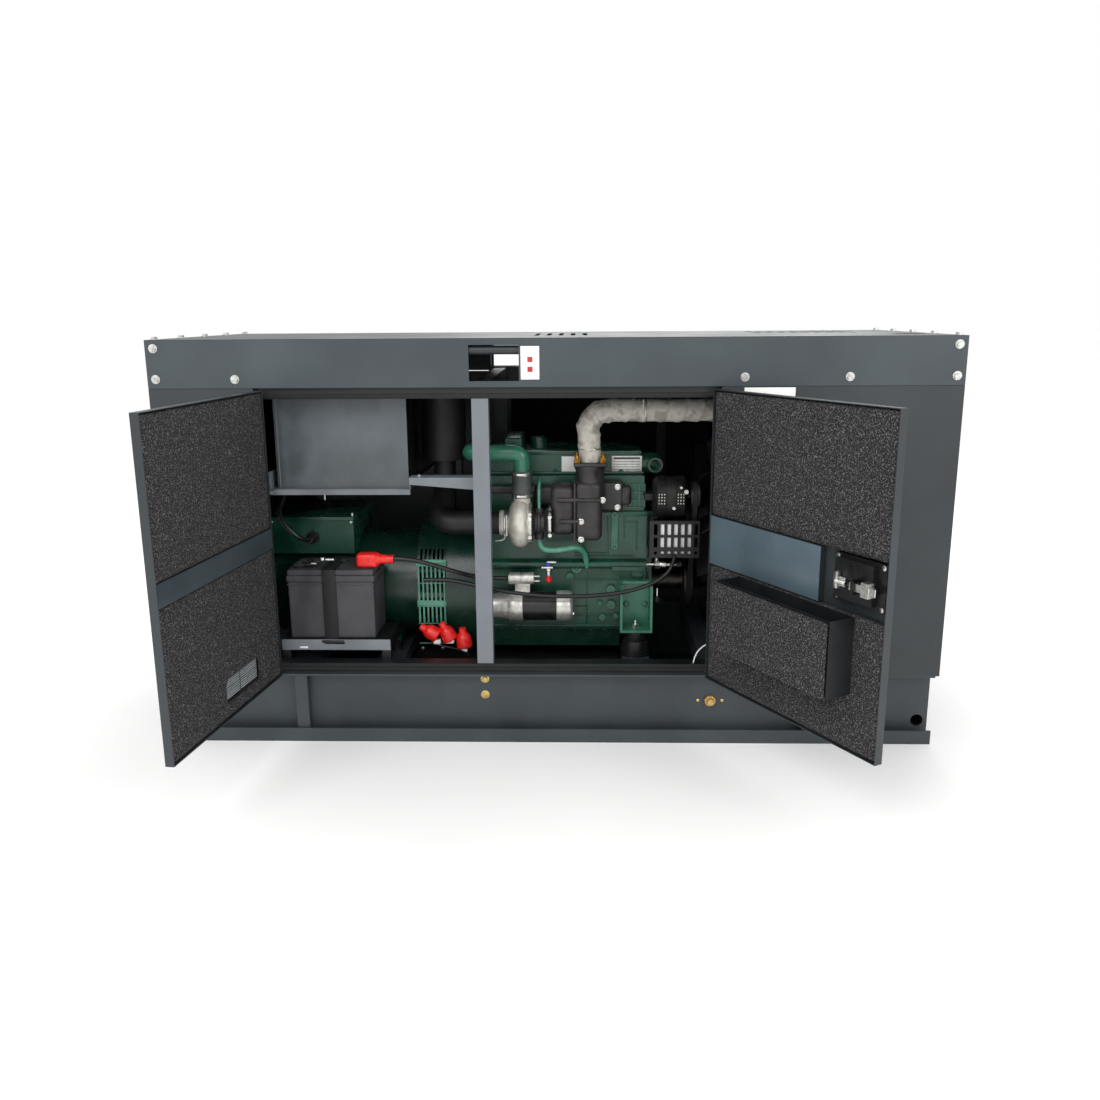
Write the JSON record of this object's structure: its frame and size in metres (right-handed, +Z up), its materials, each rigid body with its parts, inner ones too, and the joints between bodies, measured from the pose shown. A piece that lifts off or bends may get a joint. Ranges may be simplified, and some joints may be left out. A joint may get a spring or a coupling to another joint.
{
  "type": "silent canopy diesel generator set",
  "caption": "Standby generator set in a steel sound canopy on a base frame, front doors open on the engine, alternator and battery.",
  "frame": {"origin": "centre of the anchor hole pattern, on the underside of the base frame", "axes": "+X along the set from the alternator end to the radiator end, +Y from the front doors to the back, +Z up"},
  "size_m": [2.2, 1.4762, 1.1695],
  "materials": {
    "base_frame": "semi-gloss powder coat",
    "fuel_tank": "semi-gloss paint",
    "brass_fittings": "yellow zinc",
    "left_end_panel": "semi-gloss powder coat",
    "right_end_panel": "semi-gloss powder coat",
    "fixed_panels": "semi-gloss powder coat",
    "roof_panel": "semi-gloss powder coat",
    "top_beams": "semi-gloss powder coat",
    "lifting_bar": "semi-gloss powder coat",
    "canopy_bolts": "zinc plated",
    "wall_foam": "open-cell foam",
    "door_frame_members": "semi-gloss powder coat",
    "door_hinges": "semi-gloss powder coat",
    "left_door_panel": "semi-gloss powder coat",
    "left_door_foam": "open-cell foam",
    "right_door_panel": "semi-gloss powder coat",
    "right_door_foam": "open-cell foam",
    "right_door_baffle": "semi-gloss powder coat",
    "latch_housing": "gloss black paint",
    "latch_paddle": "gloss black paint",
    "latch_bolt": "zinc plated",
    "control_door": "semi-gloss powder coat",
    "control_window": "clear polycarbonate",
    "control_latch": "polished",
    "control_cabinet": "gloss powder coat",
    "cabinet_shelf": "semi-gloss powder coat",
    "controller": "moulded ABS",
    "main_breaker": "moulded",
    "breaker_lever": "moulded",
    "estop_button": "glossy red",
    "battery": "moulded polypropylene",
    "battery_tray": "semi-gloss powder coat",
    "battery_strap": "woven webbing",
    "terminal_boots": "soft PVC",
    "battery_cable": "PVC jacket",
    "engine_harness": "PVC jacket",
    "terminal_cable": "PVC jacket",
    "engine_block": "green enamel",
    "cylinder_head": "green enamel",
    "rocker_cover": "green enamel",
    "oil_pan": "green enamel",
    "flywheel_housing": "green enamel",
    "crankshaft": "machined",
    "cooling_fan": "moulded nylon",
    "fan_belt": "rubber",
    "charging_alternator": "die cast",
    "alternator_pulley": "machined",
    "turbocharger": "cast",
    "exhaust_manifold": "heat-proof black",
    "exhaust_pipe": "glass-cloth lagging",
    "muffler": "heat-proof black",
    "radiator": "black painted",
    "fan_shroud": "black paint",
    "charge_pipe": "green enamel",
    "air_cleaner": "moulded",
    "starter_motor": "black paint",
    "engine_mounts": "green enamel",
    "generator_stator": "green enamel",
    "generator_rotor": "machined",
    "terminal_box": "green enamel"
  },
  "bodies": {
    "canopy": {"base_frame": "base_frame", "fuel_tank": "fuel_tank", "brass_fittings": "brass_fittings", "left_end_panel": "left_end_panel", "right_end_panel": "right_end_panel", "fixed_panels": "fixed_panels", "roof_panel": "roof_panel", "top_beams": "top_beams", "lifting_bar": "lifting_bar", "canopy_bolts": "canopy_bolts", "wall_foam": "wall_foam", "door_frame_members": "door_frame_members", "door_hinges": "door_hinges", "control_cabinet": "control_cabinet", "cabinet_shelf": "cabinet_shelf", "controller": "controller", "main_breaker": "main_breaker", "battery": "battery", "battery_tray": "battery_tray", "battery_strap": "battery_strap", "terminal_boots": "terminal_boots", "battery_cable": "battery_cable", "engine_harness": "engine_harness", "terminal_cable": "terminal_cable", "engine_block": "engine_block", "cylinder_head": "cylinder_head", "rocker_cover": "rocker_cover", "oil_pan": "oil_pan", "flywheel_housing": "flywheel_housing", "fan_belt": "fan_belt", "charging_alternator": "charging_alternator", "turbocharger": "turbocharger", "exhaust_manifold": "exhaust_manifold", "exhaust_pipe": "exhaust_pipe", "muffler": "muffler", "radiator": "radiator", "fan_shroud": "fan_shroud", "charge_pipe": "charge_pipe", "air_cleaner": "air_cleaner", "starter_motor": "starter_motor", "engine_mounts": "engine_mounts", "generator_stator": "generator_stator", "terminal_box": "terminal_box"},
    "left_door": {"left_door_panel": "left_door_panel", "left_door_foam": "left_door_foam"},
    "right_door": {"right_door_panel": "right_door_panel", "right_door_foam": "right_door_foam", "right_door_baffle": "right_door_baffle", "latch_housing": "latch_housing"},
    "latch_paddle": {"latch_paddle": "latch_paddle"},
    "latch_bolt": {"latch_bolt": "latch_bolt"},
    "control_door": {"control_door": "control_door", "control_window": "control_window"},
    "control_latch": {"control_latch": "control_latch"},
    "crank": {"crankshaft": "crankshaft", "generator_rotor": "generator_rotor"},
    "fan": {"cooling_fan": "cooling_fan"},
    "charger_pulley": {"alternator_pulley": "alternator_pulley"},
    "estop": {"estop_button": "estop_button"},
    "breaker": {"breaker_lever": "breaker_lever"}
  },
  "joints": [
    {"name": "left_door_hinge", "type": "hinge", "parent": "canopy", "child": "left_door", "pos_m": [-0.8115, -0.4215, 0.62], "axis": [0, 0, -1], "range_deg": [-97.3, 32.7]},
    {"name": "right_door_hinge", "type": "hinge", "parent": "canopy", "child": "right_door", "pos_m": [0.454, -0.4215, 0.62], "axis": [0, 0, 1], "range_deg": [-119.3, 10.7]},
    {"name": "latch_paddle_pivot", "type": "hinge", "parent": "right_door", "child": "latch_paddle", "pos_m": [0.69192, -0.8751, 0.63], "axis": [0, 0, 1], "range_deg": [0, 38], "stiffness_Nm_per_rad": 0.8},
    {"name": "latch_bolt_slide", "type": "slide", "parent": "right_door", "child": "latch_bolt", "axis": [-0.4894, 0.8721, 0], "range_m": [0, 0.014]},
    {"name": "control_door_hinge", "type": "hinge", "parent": "canopy", "child": "control_door", "pos_m": [-0.847, 0.4215, 0.83], "axis": [0, 0, 1], "range_deg": [0, 110]},
    {"name": "control_latch_turn", "type": "hinge", "parent": "control_door", "child": "control_latch", "pos_m": [-0.42, 0.4, 0.74], "axis": [0, -1, 0], "range_deg": [0, 90]},
    {"name": "crank_spin", "type": "hinge", "parent": "canopy", "child": "crank", "pos_m": [0, 0, 0.385], "axis": [1, 0, 0], "continuous": true},
    {"name": "fan_spin", "type": "hinge", "parent": "canopy", "child": "fan", "pos_m": [0.418, 0, 0.6], "axis": [1, 0, 0], "continuous": true},
    {"name": "charger_pulley_spin", "type": "hinge", "parent": "canopy", "child": "charger_pulley", "pos_m": [0.418, -0.175, 0.69], "axis": [1, 0, 0], "continuous": true},
    {"name": "estop_press", "type": "slide", "parent": "canopy", "child": "estop", "axis": [0, -1, 0], "range_m": [0, 0.006]},
    {"name": "breaker_throw", "type": "hinge", "parent": "canopy", "child": "breaker", "pos_m": [-0.456, 0.352, 0.885], "axis": [1, 0, 0], "range_deg": [0, 30]}
  ],
  "couplings": [
    {"joint": "latch_bolt_slide", "follows": "latch_paddle_pivot", "m_per_rad": 0.021},
    {"joint": "fan_spin", "follows": "crank_spin", "ratio": 1.3333},
    {"joint": "charger_pulley_spin", "follows": "crank_spin", "ratio": 2.3529}
  ]
}
